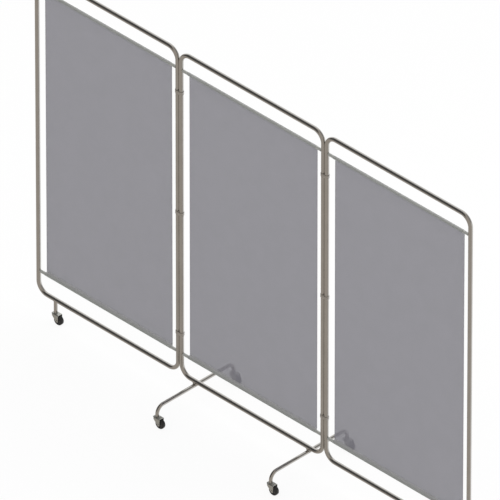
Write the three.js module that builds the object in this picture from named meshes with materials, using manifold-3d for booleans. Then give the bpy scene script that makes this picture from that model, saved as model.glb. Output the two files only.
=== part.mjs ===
// A three-panel ward privacy screen on wheels.
// Three bent-tube frames stand side by side and carry flat curtains on cross rods. The middle frame
// stands on two foot bars with four casters, and each wing on one short leg with a caster. Thin
// bands round the neighbouring uprights let each wing fold to the front or to the back.
// Lengths are in millimetres. X runs along the screen, Y to its back and Z up from the floor.
import * as THREE from "three";
import { mergeVertices } from "three/addons/utils/BufferGeometryUtils.js";
import Module from "manifold-3d";

const wasm = await Module();
wasm.setup();

// Frames
const frameTube = 19; // outer diameter
const frameWall = 1.2;
const frameWidth = 794; // between the centre lines of a frame's uprights
const frameHeight = 1562; // between the centre lines of its rails
const cornerRadius = 50; // to the tube's centre line
const railHeight = 113; // of the bottom rail's centre line above the floor
const frameGap = 0.4; // between the uprights of neighbouring frames

// Curtain rods
const rodDiameter = 12.7;
const rodDrop = 86; // from the top rail's centre line to the upper rod's
const rodRise = 98.5; // from the bottom rail's centre line to the lower rod's
const rodPinDiameter = 6; // the turned ends that sit in the uprights
const rodPinLength = 6;

// Curtains
const curtainSideGap = 40; // from an upright's centre line to the curtain's edge
const clothThickness = 0.8;
const sleeveEase = 0.3; // between the rod and its sleeve

// Feet and legs
const footTube = 16; // outer diameter of the foot bars and legs
const footWall = 1.2;
const footSpan = 430; // from the front stem to the back stem
const footStraightEnd = 7.4; // below the bend, where the caster's bush sits
const footInset = 77; // from the middle frame's upright to its foot bar
const footClearance = 1; // under a rail that passes over the foot bar
const saddleLength = 20; // the block between a foot bar and its rail, along the rail
const saddleDepth = 14;
const legClearance = 3; // between a folded wing's leg and the foot bar beside it

// Hinge bands
const bandThickness = 1.2;
const bandWidth = 14;
const bandHeightShares = [-0.375, 0, 0.375]; // of the frame's height, from its middle
const bandStopDiameter = 3; // the peg that a band rests on
const bandStopReach = 1.8; // out of the upright

// Casters
const wheelDiameter = 45;
const wheelWidth = 18;
// The tyre's rings from its side to its tread, as [depth below the tread, width], shares of the
// tyre's thickness and of the wheel's width.
const tyreRingShares = [
  [0.5, 1],
  [0.12, 0.76],
  [0, 0.35],
];
const hubDiameter = 27;
const hubWidth = 16;
const hubBossDiameter = 12;
const wheelSideGap = 0.4; // between the hub's boss and the fork
const casterTrail = 17.5; // from the stem's axis back to the axle
const wheelTopGap = 3; // between the wheel and the fork's top plate
const forkSheet = 2;
const forkSideGap = 2; // between the tyre and the fork's cheeks
const forkCreaseRadius = 4; // where the top plate turns down into the cheeks
const forkNose = 13; // from the stem's axis to the front edge
const forkNoseRadius = 5; // of the plate's front corners
const forkLip = 6; // height of the cheeks at the nose
const forkLobeRadius = 7; // round the axle
const axleDiameter = 5;
const axleHeadDiameter = 9;
const axleHeadHeight = 1.3;
const studDiameter = 8;
const studLength = 20;
const studChamfer = 1;
const shoulderDiameter = 17;
const shoulderHeight = 2;
const neckDiameter = 6;
const rivetDiameter = 10;
const rivetHeight = 1.4;
const bushFlangeHeight = 1.2;

// Fits
const seatGap = 0.3; // between pieces that rest on or sit in each other
const overrun = 2; // of a cutting shape past what it cuts

// Facets
const tubeSides = 16;
const boreSides = 8;
const rodSides = 12;
const bendSteps = 5;
const turnedSides = 10;
const tyreSides = 20;
const sleeveSides = 14;
const pegSides = 8;
const creaseSteps = 3;
const lobeSteps = 5;

// Places that follow from the sizes above
const frameRadius = frameTube / 2;
const footRadius = footTube / 2;
const wheelRadius = wheelDiameter / 2;
const panelPitch = frameWidth + frameTube + frameGap;
const railTop = railHeight + frameHeight;
const frameMiddle = railHeight + frameHeight / 2;
const curtainWidth = frameWidth - 2 * curtainSideGap;
const footHeight = railHeight - frameRadius - footClearance - footRadius;
const legInset = footInset + footTube + legClearance; // from a wing's outer upright to its leg
const forkTop = wheelDiameter + wheelTopGap + forkSheet;
const forkInnerWidth = wheelWidth + 2 * forkSideGap;
const forkOuterWidth = forkInnerWidth + 2 * forkSheet;
const shoulderBottom = forkTop + seatGap;
const shoulderTop = shoulderBottom + shoulderHeight;
const bushBottom = shoulderTop + seatGap;
const tubeEnd = bushBottom + bushFlangeHeight + seatGap;
const footBendRadius = footHeight - tubeEnd - footStraightEnd;
const rodLine = frameWidth / 2 - frameRadius - seatGap; // from the middle to the rod's shoulder
const sleeveInner = rodDiameter / 2 + sleeveEase;
const sleeveOuter = sleeveInner + clothThickness;
const upperRodHeight = railTop - rodDrop;
const lowerRodHeight = railHeight + rodRise;

const steel = new THREE.MeshStandardMaterial({ color: 0x9c968c, roughness: 0.12, metalness: 1 });
const rodSteel = new THREE.MeshStandardMaterial({ color: 0x8f8f88, roughness: 0.25, metalness: 1 });
const zinc = new THREE.MeshStandardMaterial({ color: 0xa3a59b, roughness: 0.35, metalness: 1 });
const cloth = new THREE.MeshStandardMaterial({
  color: 0x939396, roughness: 0.95, metalness: 0, transparent: true, opacity: 0.9,
});
const rubber = new THREE.MeshStandardMaterial({ color: 0x1c1c1d, roughness: 0.55, metalness: 0 });
const nylon = new THREE.MeshStandardMaterial({ color: 0x3a3a3c, roughness: 0.4, metalness: 0 });

// Turns a closed three.js geometry into a solid that can be joined and cut.
function solidOf(geometry) {
  const bare = geometry.index ? geometry.toNonIndexed() : geometry.clone();
  bare.deleteAttribute("normal");
  bare.deleteAttribute("uv");
  const merged = mergeVertices(bare);
  return new wasm.Manifold(
    new wasm.Mesh({
      numProp: 3,
      vertProperties: merged.attributes.position.array,
      triVerts: new Uint32Array(merged.index.array),
    }),
  );
}

// Turns a solid back into a geometry with flat facets.
function geometryOf(solid) {
  const mesh = solid.getMesh();
  const geometry = new THREE.BufferGeometry();
  geometry.setAttribute("position", new THREE.BufferAttribute(mesh.vertProperties, mesh.numProp));
  geometry.setIndex(new THREE.BufferAttribute(mesh.triVerts, 1));
  const faceted = geometry.toNonIndexed();
  faceted.computeVertexNormals();
  return faceted;
}

// The points of a regular polygon, with its corners on the circle.
function polygon(radius, sides) {
  return Array.from({ length: sides }, (_, i) => {
    const turn = (i / sides) * 2 * Math.PI;
    return new THREE.Vector2(radius * Math.cos(turn), radius * Math.sin(turn));
  });
}

// The radius at the corners of a polygon whose sides touch a circle from outside.
function outsideRadius(radius, sides) {
  return radius / Math.cos(Math.PI / sides);
}

// Points along a circular arc, both ends included.
function arc(centreX, centreY, radius, from, to, steps) {
  return Array.from({ length: steps + 1 }, (_, i) => {
    const turn = from + ((to - from) * i) / steps;
    return new THREE.Vector2(centreX + radius * Math.cos(turn), centreY + radius * Math.sin(turn));
  });
}

// The section of a tube: a round outline with a round bore.
function tubeSection(diameter, wall) {
  const section = new THREE.Shape(polygon(diameter / 2, tubeSides));
  const bore = outsideRadius(diameter / 2 - wall, boreSides);
  section.holes.push(new THREE.Path(polygon(bore, boreSides).reverse()));
  return section;
}

// A tube's centre line through some corners, each rounded by a bend. It has a point at both ends of
// each straight run and at each step of a bend, and its direction at a point is the bend's own.
class BentLine extends THREE.Curve {
  constructor(corners, bendRadius, steps) {
    super();
    this.points = [corners[0]];
    this.directions = [direction(corners[0], corners[1])];
    for (let i = 1; i < corners.length - 1; i++)
      this.addBend(corners[i - 1], corners[i], corners[i + 1], bendRadius, steps);
    this.points.push(corners.at(-1));
    this.directions.push(direction(corners.at(-2), corners.at(-1)));
  }

  // Adds a right-angled bend at a corner.
  addBend(before, corner, after, bendRadius, steps) {
    const into = direction(before, corner);
    const out = direction(corner, after);
    const centre = corner.clone().addScaledVector(into, -bendRadius).addScaledVector(out, bendRadius);
    for (let i = 0; i <= steps; i++) {
      const turn = (i / steps) * (Math.PI / 2);
      const along = Math.sin(turn);
      const across = Math.cos(turn);
      this.points.push(
        centre.clone().addScaledVector(into, bendRadius * along).addScaledVector(out, -bendRadius * across),
      );
      this.directions.push(into.clone().multiplyScalar(across).addScaledVector(out, along).normalize());
    }
  }

  get steps() {
    return this.points.length - 1;
  }

  getUtoTmapping(u) {
    return u;
  }

  getPoint(t, target = new THREE.Vector3()) {
    return target.copy(this.points[Math.round(t * this.steps)]);
  }

  getTangent(t, target = new THREE.Vector3()) {
    return target.copy(this.directions[Math.round(t * this.steps)]);
  }
}

function direction(from, to) {
  return to.clone().sub(from).normalize();
}

// A solid with one section all along a centre line.
function swept(section, line) {
  return solidOf(new THREE.ExtrudeGeometry(section, { steps: line.steps, extrudePath: line }));
}

// A solid of revolution about Z through rings given as [radius, height]. The start angle turns its
// facets about the axis.
function turned(rings, sides, start = 0) {
  const profile = rings.map(([radius, height]) => new THREE.Vector2(radius, height));
  const geometry = new THREE.LatheGeometry(profile, sides, start);
  return solidOf(geometry.rotateX(Math.PI / 2));
}

// A straight round bar about an axis through a centre.
function bar(radius, length, sides, axis, centre = new THREE.Vector3()) {
  const turn = new THREE.Quaternion().setFromUnitVectors(new THREE.Vector3(0, 1, 0), axis);
  const geometry = new THREE.CylinderGeometry(radius, radius, length, sides);
  return solidOf(geometry.applyQuaternion(turn).translate(centre.x, centre.y, centre.z));
}

// A flat outline in X and Y, given a height from the floor up.
function standing(outline, height, bottom) {
  const geometry = new THREE.ExtrudeGeometry(outline, { depth: height, bevelEnabled: false });
  return solidOf(geometry.translate(0, 0, bottom));
}

// A flat outline in X and Z, given a thickness in Y, half to each side.
function upright(outline, thickness) {
  const geometry = new THREE.ExtrudeGeometry(outline, { depth: thickness, bevelEnabled: false });
  return solidOf(geometry.rotateX(Math.PI / 2).translate(0, thickness / 2, 0));
}

// A flat outline in Y and Z, given a length in X from a start.
function lengthwise(outline, length, start) {
  const geometry = new THREE.ExtrudeGeometry(outline, { depth: length, bevelEnabled: false });
  const turn = new THREE.Matrix4().makeBasis(axisY, axisZ, axisX);
  return solidOf(geometry.applyMatrix4(turn).translate(start, 0, 0));
}

const axisX = new THREE.Vector3(1, 0, 0);
const axisY = new THREE.Vector3(0, 1, 0);
const axisZ = new THREE.Vector3(0, 0, 1);

// Half of a frame, as a U from the middle of one upright round to the middle of the other.
function halfFrame(section, railLine) {
  const side = frameWidth / 2;
  const corners = [
    new THREE.Vector3(-side, 0, frameMiddle),
    new THREE.Vector3(-side, 0, railLine),
    new THREE.Vector3(side, 0, railLine),
    new THREE.Vector3(side, 0, frameMiddle),
  ];
  return swept(section, new BentLine(corners, cornerRadius, bendSteps));
}

// A frame of one bent tube, with four holes in its uprights for the rods' ends.
function frame() {
  const section = tubeSection(frameTube, frameWall);
  let body = halfFrame(section, railTop).add(halfFrame(section, railHeight));
  const depth = frameTube + rodPinLength;
  for (const height of [lowerRodHeight, upperRodHeight])
    for (const side of [-1, 1]) {
      const middle = new THREE.Vector3(side * (frameWidth / 2 - depth / 2), 0, height);
      body = body.subtract(bar(rodPinDiameter / 2 + seatGap, depth, pegSides, axisX, middle));
    }
  return body;
}

// The middle frame, with a peg under each hinge band on the inner side of its uprights.
function middleFrame() {
  let body = frame();
  const length = bandStopReach + frameWall;
  for (const share of bandHeightShares)
    for (const side of [-1, 1]) {
      const x = side * (frameWidth / 2 - frameRadius + frameWall - length / 2);
      const height = bandBottom(share) - seatGap - bandStopDiameter / 2;
      const peg = bar(bandStopDiameter / 2, length, pegSides, axisX, new THREE.Vector3(x, 0, height));
      body = body.add(peg);
    }
  return body;
}

// A rod with turned-down ends.
function rod() {
  const pin = rodPinDiameter / 2;
  const end = rodLine + rodPinLength;
  const rings = [[0, -end], [pin, -end], [pin, -rodLine], [rodDiameter / 2, -rodLine]];
  const mirrored = rings.map(([radius, height]) => [radius, -height]).reverse();
  return turned([...rings, ...mirrored], rodSides).rotate([0, 90, 0]);
}

// A flat curtain that hangs behind the rods, sewn round both in sleeves.
function curtain() {
  const open = Math.acos(sleeveInner / sleeveOuter); // where the sleeve meets the sheet's front
  const topSleeve = arc(0, upperRodHeight, sleeveOuter, 0, 2 * Math.PI - open, sleeveSides);
  const bottomSleeve = arc(0, lowerRodHeight, sleeveOuter, open, 2 * Math.PI, sleeveSides);
  const outline = new THREE.Shape([...topSleeve, ...bottomSleeve]);
  for (const height of [upperRodHeight, lowerRodHeight])
    outline.holes.push(new THREE.Path(arc(0, height, sleeveInner, 0, -2 * Math.PI, rodSides).slice(1)));
  return lengthwise(outline, curtainWidth, -curtainWidth / 2);
}

// The rail that runs over a foot or leg, with its seat gap, to shape what is welded under it.
function railCut() {
  const radius = outsideRadius(frameRadius + seatGap, tubeSides);
  return bar(radius, footTube + saddleLength, tubeSides, axisX, new THREE.Vector3(0, 0, railHeight));
}

// A foot bar, bent down at both ends, with the saddle block that joins it to the rail above.
function foot() {
  const side = footSpan / 2;
  const line = (end) =>
    new BentLine(
      [
        new THREE.Vector3(0, -side, end),
        new THREE.Vector3(0, -side, footHeight),
        new THREE.Vector3(0, side, footHeight),
        new THREE.Vector3(0, side, end),
      ],
      footBendRadius,
      bendSteps,
    );
  const outer = new THREE.Shape(polygon(footRadius, tubeSides));
  const boreRadius = outsideRadius(footRadius - footWall, boreSides);
  const bore = new THREE.Shape(polygon(boreRadius, boreSides));
  const saddle = new THREE.BoxGeometry(saddleLength, saddleDepth, railHeight - footHeight);
  saddle.translate(0, 0, (railHeight + footHeight) / 2);
  return swept(outer, line(tubeEnd))
    .add(solidOf(saddle))
    .subtract(swept(bore, line(tubeEnd - overrun)))
    .subtract(railCut());
}

// A wing's leg, its top end shaped to the rail above.
function leg() {
  const bore = outsideRadius(footRadius - footWall, boreSides);
  const length = railHeight - tubeEnd;
  const middle = new THREE.Vector3(0, 0, (railHeight + tubeEnd) / 2);
  return bar(footRadius, length, tubeSides, axisZ, middle)
    .subtract(bar(bore, length + 2 * overrun, boreSides, axisZ, middle))
    .subtract(railCut());
}

function bandBottom(share) {
  return frameMiddle + share * frameHeight - bandWidth / 2;
}

// A hinge band: a thin strap round two neighbouring uprights.
function band() {
  const apart = (frameTube + frameGap) / 2;
  const loop = (radius) => [
    ...arc(apart, 0, radius, -Math.PI / 2, Math.PI / 2, tubeSides / 2),
    ...arc(-apart, 0, radius, Math.PI / 2, (3 * Math.PI) / 2, tubeSides / 2),
  ];
  const inner = outsideRadius(frameRadius + seatGap, tubeSides);
  const outline = new THREE.Shape(loop(inner + bandThickness));
  outline.holes.push(new THREE.Path(loop(inner).reverse()));
  return standing(outline, bandWidth, 0);
}

// The threaded bush in the end of a foot or leg.
function bush() {
  const bore = outsideRadius(studDiameter / 2 + seatGap, turnedSides);
  const flange = footRadius;
  const plug = footRadius - footWall - seatGap;
  const top = tubeEnd + footStraightEnd - seatGap;
  const step = bushBottom + bushFlangeHeight;
  const rings = [[bore, bushBottom], [flange, bushBottom], [flange, step], [plug, step], [plug, top]];
  return turned([...rings, [bore, top], [bore, bushBottom]], turnedSides);
}

// The caster's stem: a stud, a shoulder over the fork, and a neck riveted under its top plate.
function stem() {
  const neck = neckDiameter / 2;
  const stud = studDiameter / 2;
  const shoulder = shoulderDiameter / 2;
  const plateUnder = forkTop - forkSheet - seatGap;
  const studTop = shoulderTop + studLength;
  const rings = [
    [0, plateUnder - rivetHeight],
    [rivetDiameter / 2, plateUnder - rivetHeight],
    [rivetDiameter / 2, plateUnder],
    [neck, plateUnder],
    [neck, shoulderBottom],
    [shoulder, shoulderBottom],
    [shoulder, shoulderTop],
    [stud, shoulderTop],
    [stud, studTop - studChamfer],
    [stud - studChamfer, studTop],
    [0, studTop],
  ];
  return turned(rings, turnedSides);
}

// The section across a fork: a flat top turned down at both sides by round creases.
function forkSection() {
  const crease = (side, radius, from, to) =>
    arc(
      side * (forkOuterWidth / 2 - forkCreaseRadius),
      forkTop - forkCreaseRadius,
      radius,
      from,
      to,
      creaseSteps,
    );
  const right = Math.PI / 2;
  const inner = forkCreaseRadius - forkSheet;
  return new THREE.Shape([
    new THREE.Vector2(forkOuterWidth / 2, 0),
    ...crease(1, forkCreaseRadius, 0, right),
    ...crease(-1, forkCreaseRadius, right, 2 * right),
    new THREE.Vector2(-forkOuterWidth / 2, 0),
    new THREE.Vector2(-forkInnerWidth / 2, 0),
    ...crease(-1, inner, 2 * right, right),
    ...crease(1, inner, right, 0),
    new THREE.Vector2(forkInnerWidth / 2, 0),
  ]);
}

// A fork's side view: its front edge runs from the nose down to a round lobe about the axle.
function forkProfile() {
  const noseEdge = new THREE.Vector2(-forkNose, forkTop - forkLip);
  const toNose = noseEdge.clone().sub(new THREE.Vector2(casterTrail, wheelRadius));
  const tangent = toNose.angle() + Math.acos(forkLobeRadius / toNose.length()) - 2 * Math.PI;
  return new THREE.Shape([
    new THREE.Vector2(-forkNose, forkTop),
    noseEdge,
    ...arc(casterTrail, wheelRadius, forkLobeRadius, tangent, 0, lobeSteps),
    new THREE.Vector2(casterTrail + forkLobeRadius, forkTop),
  ]);
}

// A fork's plan, with round front corners.
function forkPlan() {
  const rear = casterTrail + forkLobeRadius + overrun;
  const side = forkOuterWidth / 2 + overrun;
  const corner = forkOuterWidth / 2 - forkNoseRadius;
  const centre = forkNoseRadius - forkNose;
  return new THREE.Shape([
    new THREE.Vector2(rear, side),
    new THREE.Vector2(centre, side),
    ...arc(centre, corner, forkNoseRadius, Math.PI / 2, Math.PI, creaseSteps),
    ...arc(centre, -corner, forkNoseRadius, Math.PI, (3 * Math.PI) / 2, creaseSteps),
    new THREE.Vector2(centre, -side),
    new THREE.Vector2(rear, -side),
  ]);
}

// The pressed steel fork of a caster.
function fork() {
  const length = forkNose + casterTrail + forkLobeRadius;
  const channel = lengthwise(forkSection(), length + 2 * overrun, -forkNose - overrun);
  const axleHole = outsideRadius(axleDiameter / 2 + seatGap, turnedSides);
  const neckHole = outsideRadius(neckDiameter / 2 + seatGap, turnedSides);
  const axlePlace = new THREE.Vector3(casterTrail, 0, wheelRadius);
  const neckPlace = new THREE.Vector3(0, 0, forkTop);
  return channel
    .intersect(upright(forkProfile(), forkOuterWidth + 2 * overrun))
    .intersect(standing(forkPlan(), forkTop + overrun, 0))
    .subtract(bar(axleHole, forkOuterWidth + 2 * overrun, turnedSides, axisY, axlePlace))
    .subtract(bar(neckHole, 2 * forkSheet + 2 * overrun, turnedSides, axisZ, neckPlace));
}

// A wheel piece, turned about Y, with its axis on the axle's.
function onAxle(rings, sides, start = 0) {
  return turned(rings, sides, start).rotate([90, 0, 0]).translate([casterTrail, 0, wheelRadius]);
}

// The rivet that a wheel turns on.
function axle() {
  const shank = axleDiameter / 2;
  const head = axleHeadDiameter / 2;
  const cheek = forkOuterWidth / 2 + seatGap;
  const end = cheek + axleHeadHeight;
  const rings = [[0, -end], [head, -end], [head, -cheek], [shank, -cheek]];
  const mirrored = rings.map(([radius, height]) => [radius, -height]).reverse();
  return onAxle([...rings, ...mirrored], turnedSides);
}

// The wheel's hub, with a boss at each side that keeps it off the fork.
function hub() {
  const bore = outsideRadius(axleDiameter / 2 + seatGap, turnedSides);
  const boss = hubBossDiameter / 2;
  const rim = hubDiameter / 2;
  const bossEnd = forkInnerWidth / 2 - wheelSideGap;
  const rimEnd = hubWidth / 2;
  const rings = [[bore, -bossEnd], [boss, -bossEnd], [boss, -rimEnd], [rim, -rimEnd]];
  const mirrored = rings.map(([radius, height]) => [radius, -height]).reverse();
  return onAxle([...rings, ...mirrored, rings[0]], turnedSides);
}

// The tyre, with a flat band that rolls on the floor and round shoulders. One facet of the band lies
// on the floor.
function tyre() {
  const bore = outsideRadius(hubDiameter / 2 + seatGap, tyreSides);
  const thickness = wheelRadius - bore;
  const shoulders = tyreRingShares.map(([depthShare, widthShare]) => [
    outsideRadius(wheelRadius - depthShare * thickness, tyreSides),
    (-widthShare * wheelWidth) / 2,
  ]);
  const rings = [[bore, -hubWidth / 2], ...shoulders];
  const mirrored = rings.map(([radius, height]) => [radius, -height]).reverse();
  return onAxle([...rings, ...mirrored, rings[0]], tyreSides, Math.PI / tyreSides);
}

const screen = new THREE.Group();

// Adds a piece to a group under its own name, at a place.
function place(group, name, solid, material, x = 0, y = 0, z = 0) {
  const mesh = new THREE.Mesh(geometryOf(solid), material);
  mesh.name = name;
  mesh.position.set(x, y, z);
  group.add(mesh);
}

// Adds one caster under a tube end.
function placeCaster(name, x, y) {
  const caster = new THREE.Group();
  caster.position.set(x, y, 0);
  place(caster, name + "_bush", bush(), zinc);
  place(caster, name + "_stem", stem(), zinc);
  place(caster, name + "_fork", fork(), zinc);
  place(caster, name + "_axle", axle(), zinc);
  place(caster, name + "_hub", hub(), nylon);
  place(caster, name + "_tyre", tyre(), rubber);
  screen.add(caster);
}

// Adds one frame with its rods and curtain.
function placePanel(name, body, x) {
  const panel = new THREE.Group();
  panel.position.x = x;
  place(panel, name + "_frame", body, steel);
  place(panel, name + "_upper_rod", rod(), rodSteel, 0, 0, upperRodHeight);
  place(panel, name + "_lower_rod", rod(), rodSteel, 0, 0, lowerRodHeight);
  place(panel, name + "_curtain", curtain(), cloth);
  screen.add(panel);
}

placePanel("middle", middleFrame(), 0);
for (const [name, side] of [["left", -1], ["right", 1]]) {
  placePanel(name, frame(), side * panelPitch);

  const footX = side * (frameWidth / 2 - footInset);
  place(screen, name + "_foot", foot(), steel, footX);
  placeCaster(name + "_front", footX, -footSpan / 2);
  placeCaster(name + "_back", footX, footSpan / 2);

  const legX = side * (panelPitch + frameWidth / 2 - legInset);
  place(screen, name + "_leg", leg(), steel, legX);
  placeCaster(name + "_wing", legX, 0);

  const bandX = (side * panelPitch) / 2;
  for (const [level, share] of ["low", "middle", "high"].map((word, i) => [word, bandHeightShares[i]]))
    place(screen, name + "_" + level + "_band", band(), steel, bandX, 0, bandBottom(share));
}

export default screen;
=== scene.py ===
"""Dresses a three-panel ward privacy screen on wheels.

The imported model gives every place: the frames, rods, curtains, feet, legs, hinge bands and casters
are measured on it, and each is modelled again here with round tubes, rolled edges, sewn cloth and
real finishes. Lengths are in metres. X runs along the screen, Y to its back and Z up.
"""

import logging
import math
from abc import ABC, abstractmethod
from collections.abc import Iterable, Sequence
from dataclasses import dataclass
from enum import Enum
from functools import cached_property

import bmesh
import bpy
from bmesh.types import BMEdge, BMesh, BMFace, BMVert
from bpy.types import Material, Node, NodeSocket, NodeTree, Object
from mathutils import Matrix, Vector


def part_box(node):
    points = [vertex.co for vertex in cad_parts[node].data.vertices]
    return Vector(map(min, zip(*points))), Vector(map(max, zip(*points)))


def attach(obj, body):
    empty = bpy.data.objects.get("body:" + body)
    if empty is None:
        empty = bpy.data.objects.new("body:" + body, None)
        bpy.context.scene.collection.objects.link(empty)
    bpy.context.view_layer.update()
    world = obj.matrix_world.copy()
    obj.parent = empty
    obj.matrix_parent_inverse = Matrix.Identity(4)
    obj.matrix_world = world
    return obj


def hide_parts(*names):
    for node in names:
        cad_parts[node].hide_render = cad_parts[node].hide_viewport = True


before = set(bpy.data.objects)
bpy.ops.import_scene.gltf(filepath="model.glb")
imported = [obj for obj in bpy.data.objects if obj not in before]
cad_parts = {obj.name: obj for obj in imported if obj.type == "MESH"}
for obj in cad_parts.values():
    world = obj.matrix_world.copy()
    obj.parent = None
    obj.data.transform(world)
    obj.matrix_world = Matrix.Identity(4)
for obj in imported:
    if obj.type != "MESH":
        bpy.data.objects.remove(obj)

log = logging.getLogger("ward_screen")

Colour = tuple[float, float, float]
Range = tuple[float, float]
Point = tuple[float, float]  # of an outline: how far out, and how far along

MM = 0.001
FULL_TURN = 2 * math.pi
QUARTER_TURN = math.pi / 2
X_AXIS = Vector((1, 0, 0))
Y_AXIS = Vector((0, 1, 0))
Z_AXIS = Vector((0, 0, 1))
FRAME_RADIUS = 9.5 * MM  # of the frames' tube
FOOT_RADIUS = 8 * MM  # of the feet's and legs' tube
SEAT = 0.3 * MM  # between pieces that seat in each other
TUBE_SIDES = 48
BEND_STEPS = 16
CORNER_STEPS = 4  # of each rounded corner of a turned outline
WELD_DISTANCE = 0.01 * MM  # vertices closer than this are one
SOFT_EDGE = math.radians(32)  # a sharper edge is drawn as an edge
SHARP_EDGE = math.radians(40)  # a sharper edge of a solid is rounded
FINE_LAYERS = 0.55  # the strength of a noise's finer layers


class Slot(Enum):
    """The material slots that the finishes name."""

    FRAME_STEEL = "frame_steel"
    ROD_STEEL = "rod_steel"
    CURTAIN_CLOTH = "curtain_cloth"
    CASTER_ZINC = "caster_zinc"
    WHEEL_NYLON = "wheel_nylon"
    TYRE_RUBBER = "tyre_rubber"


class Side(Enum):
    """The two ends of the screen, as signs along X."""

    LEFT = -1
    RIGHT = 1

    @property
    def word(self) -> str:
        """The side's name as the nodes spell it."""
        return self.name.lower()


class CasterSpot(Enum):
    """Where a caster stands on its side of the screen."""

    FRONT = "front"
    BACK = "back"
    WING = "wing"


class BandLevel(Enum):
    """The three heights of the hinge bands."""

    LOW = "low"
    MIDDLE = "middle"
    HIGH = "high"


class RodLevel(Enum):
    """The two rods that a curtain hangs between."""

    UPPER = "upper"
    LOWER = "lower"


# Materials


class Nodes:
    """A tree of nodes, with short ways to add patterns to it."""

    def __init__(self, tree: NodeTree) -> None:
        """Takes the tree of a material or of the world."""
        self.tree = tree

    def add(self, kind: str, inputs: dict[str | int, object] | None = None, **settings: object) -> Node:
        """Adds a node.

        Args:
            kind: The node's type, without the ShaderNode that its name starts with.
            inputs: What its sockets get, by name or place: a socket to join, a number or a colour.
            settings: The node's properties and their values.

        Returns:
            The new node.
        """
        made = self.tree.nodes.new(f"ShaderNode{kind}")
        for name, value in settings.items():
            setattr(made, name, value)
        for name, value in (inputs or {}).items():
            target = made.inputs[name]
            if isinstance(value, NodeSocket):
                self.tree.links.new(value, target)
            else:
                target.default_value = (*value, 1) if target.type == "RGBA" else value
        return made

    def coordinates(self, output: str = "Object") -> NodeSocket:
        """The piece's own coordinates, its UV map or, in the world, the direction."""
        return self.add("TexCoord").outputs[output]

    def scaled(self, source: NodeSocket, scale: Sequence[float]) -> NodeSocket:
        """Coordinates stretched by a factor along each axis."""
        return self.add("Mapping", {"Vector": source, "Scale": scale}, vector_type="POINT").outputs["Vector"]

    def parts(self, source: NodeSocket) -> Sequence[NodeSocket]:
        """A vector's three parts, by their names X, Y and Z."""
        return self.add("SeparateXYZ", {0: source}).outputs

    def noise(self, source: NodeSocket, cloud: float, detail: float) -> NodeSocket:
        """A cloudy pattern from 0 to 1, with clouds of a size in metres and a count of finer layers."""
        inputs = {"Vector": source, "Scale": 1 / cloud, "Detail": detail, "Roughness": FINE_LAYERS}
        return self.add("TexNoise", inputs).outputs["Fac"]

    def spread(self, source: NodeSocket, goal: Range, reach: Range = (0.3, 0.7)) -> NodeSocket:
        """Maps a pattern, over its reach, smoothly to the goal's range of values."""
        inputs = dict(zip(("Value", "From Min", "From Max", "To Min", "To Max"), (source, *reach, *goal)))
        return self.add("MapRange", inputs, interpolation_type="SMOOTHSTEP").outputs["Result"]

    def blend(self, factor: NodeSocket, first: NodeSocket | Colour, second: Colour) -> NodeSocket:
        """Blends a colour, or a pattern of colours, into another as a factor goes from 0 to 1."""
        inputs = {"Factor": factor, "A": first, "B": second}
        return self.add("Mix", inputs, data_type="RGBA").outputs["Result"]

    def math(self, kind: str, first: NodeSocket, second: NodeSocket | float = 0.0) -> NodeSocket:
        """Works out a value from one or two others."""
        return self.add("Math", {0: first, 1: second}, operation=kind).outputs[0]

    def choice(self, factor: NodeSocket, off: Node, on: Node) -> Node:
        """Chooses between two shaders by a factor of 0 or 1."""
        return self.add("MixShader", {0: factor, 1: off.outputs[0], 2: on.outputs[0]})


class Shader(Nodes):
    """A material's nodes, with short ways to feed its surface."""

    def __init__(self, name: str) -> None:
        """Starts a material with one Principled surface.

        Args:
            name: The finish's name.
        """
        self.material = bpy.data.materials.new(name)
        self.material.use_nodes = True
        super().__init__(self.material.node_tree)
        self.surface = self.tree.nodes["Principled BSDF"]

    def fix(self, **values: float) -> None:
        """Sets the surface's own sockets, named in lower case with underscores."""
        for name, value in values.items():
            self.surface.inputs[name.replace("_", " ").title().replace("Ior", "IOR")].default_value = value

    def feed(self, name: str, source: NodeSocket) -> None:
        """Joins a pattern to one of the surface's sockets."""
        self.tree.links.new(source, self.surface.inputs[name])

    def raise_by(self, height: NodeSocket, depth: float, strength: float = 1.0) -> None:
        """Gives the surface a relief of a depth in metres, and of a strength from 0 to 1."""
        bump = self.add("Bump", {"Height": height, "Distance": depth, "Strength": strength})
        self.feed("Normal", bump.outputs["Normal"])


@dataclass(frozen=True)
class Finish(ABC):
    """One finish that pieces share."""

    name: str
    slot: Slot | None  # none for what isn't part of the screen

    @abstractmethod
    def dress(self, shader: Shader) -> None:
        """Sets up the finish's nodes."""

    def material(self) -> Material:
        """Makes the finish a material, once.

        Returns:
            The material.
        """
        known = bpy.data.materials.get(self.name)
        if known:
            return known
        shader = Shader(self.name)
        self.dress(shader)
        return shader.material


@dataclass(frozen=True)
class HardFinish(Finish):
    """A hard surface whose colour and gloss change together in clouds, with a fine relief."""

    fresh: Colour
    worn: Colour
    rough: Range  # where it is fresh, and where it is worn
    cloud: float
    cloud_detail: int
    depth: float  # of the relief
    grain: float | None = None  # the size of the relief's own pattern, or else the clouds raise it
    grain_detail: int = 3
    metal: float = 0.0
    stretch: float = 1.0  # the clouds' scale along X

    def dress(self, shader: Shader) -> None:
        """Lays the clouds, at full contrast on what isn't metal, and the relief.

        Args:
            shader: The material's nodes.
        """
        shader.fix(metallic=self.metal)
        place = shader.coordinates()
        if self.stretch != 1:
            place = shader.scaled(place, (self.stretch, 1, 1))
        clouds = shader.noise(place, self.cloud, self.cloud_detail)
        wear = clouds if self.metal else shader.spread(clouds, (0, 1))
        shader.feed("Base Color", shader.blend(wear, self.fresh, self.worn))
        shader.feed("Roughness", shader.spread(clouds, self.rough))
        relief = shader.noise(place, self.grain, self.grain_detail) if self.grain else clouds
        shader.raise_by(relief, self.depth)


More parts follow.
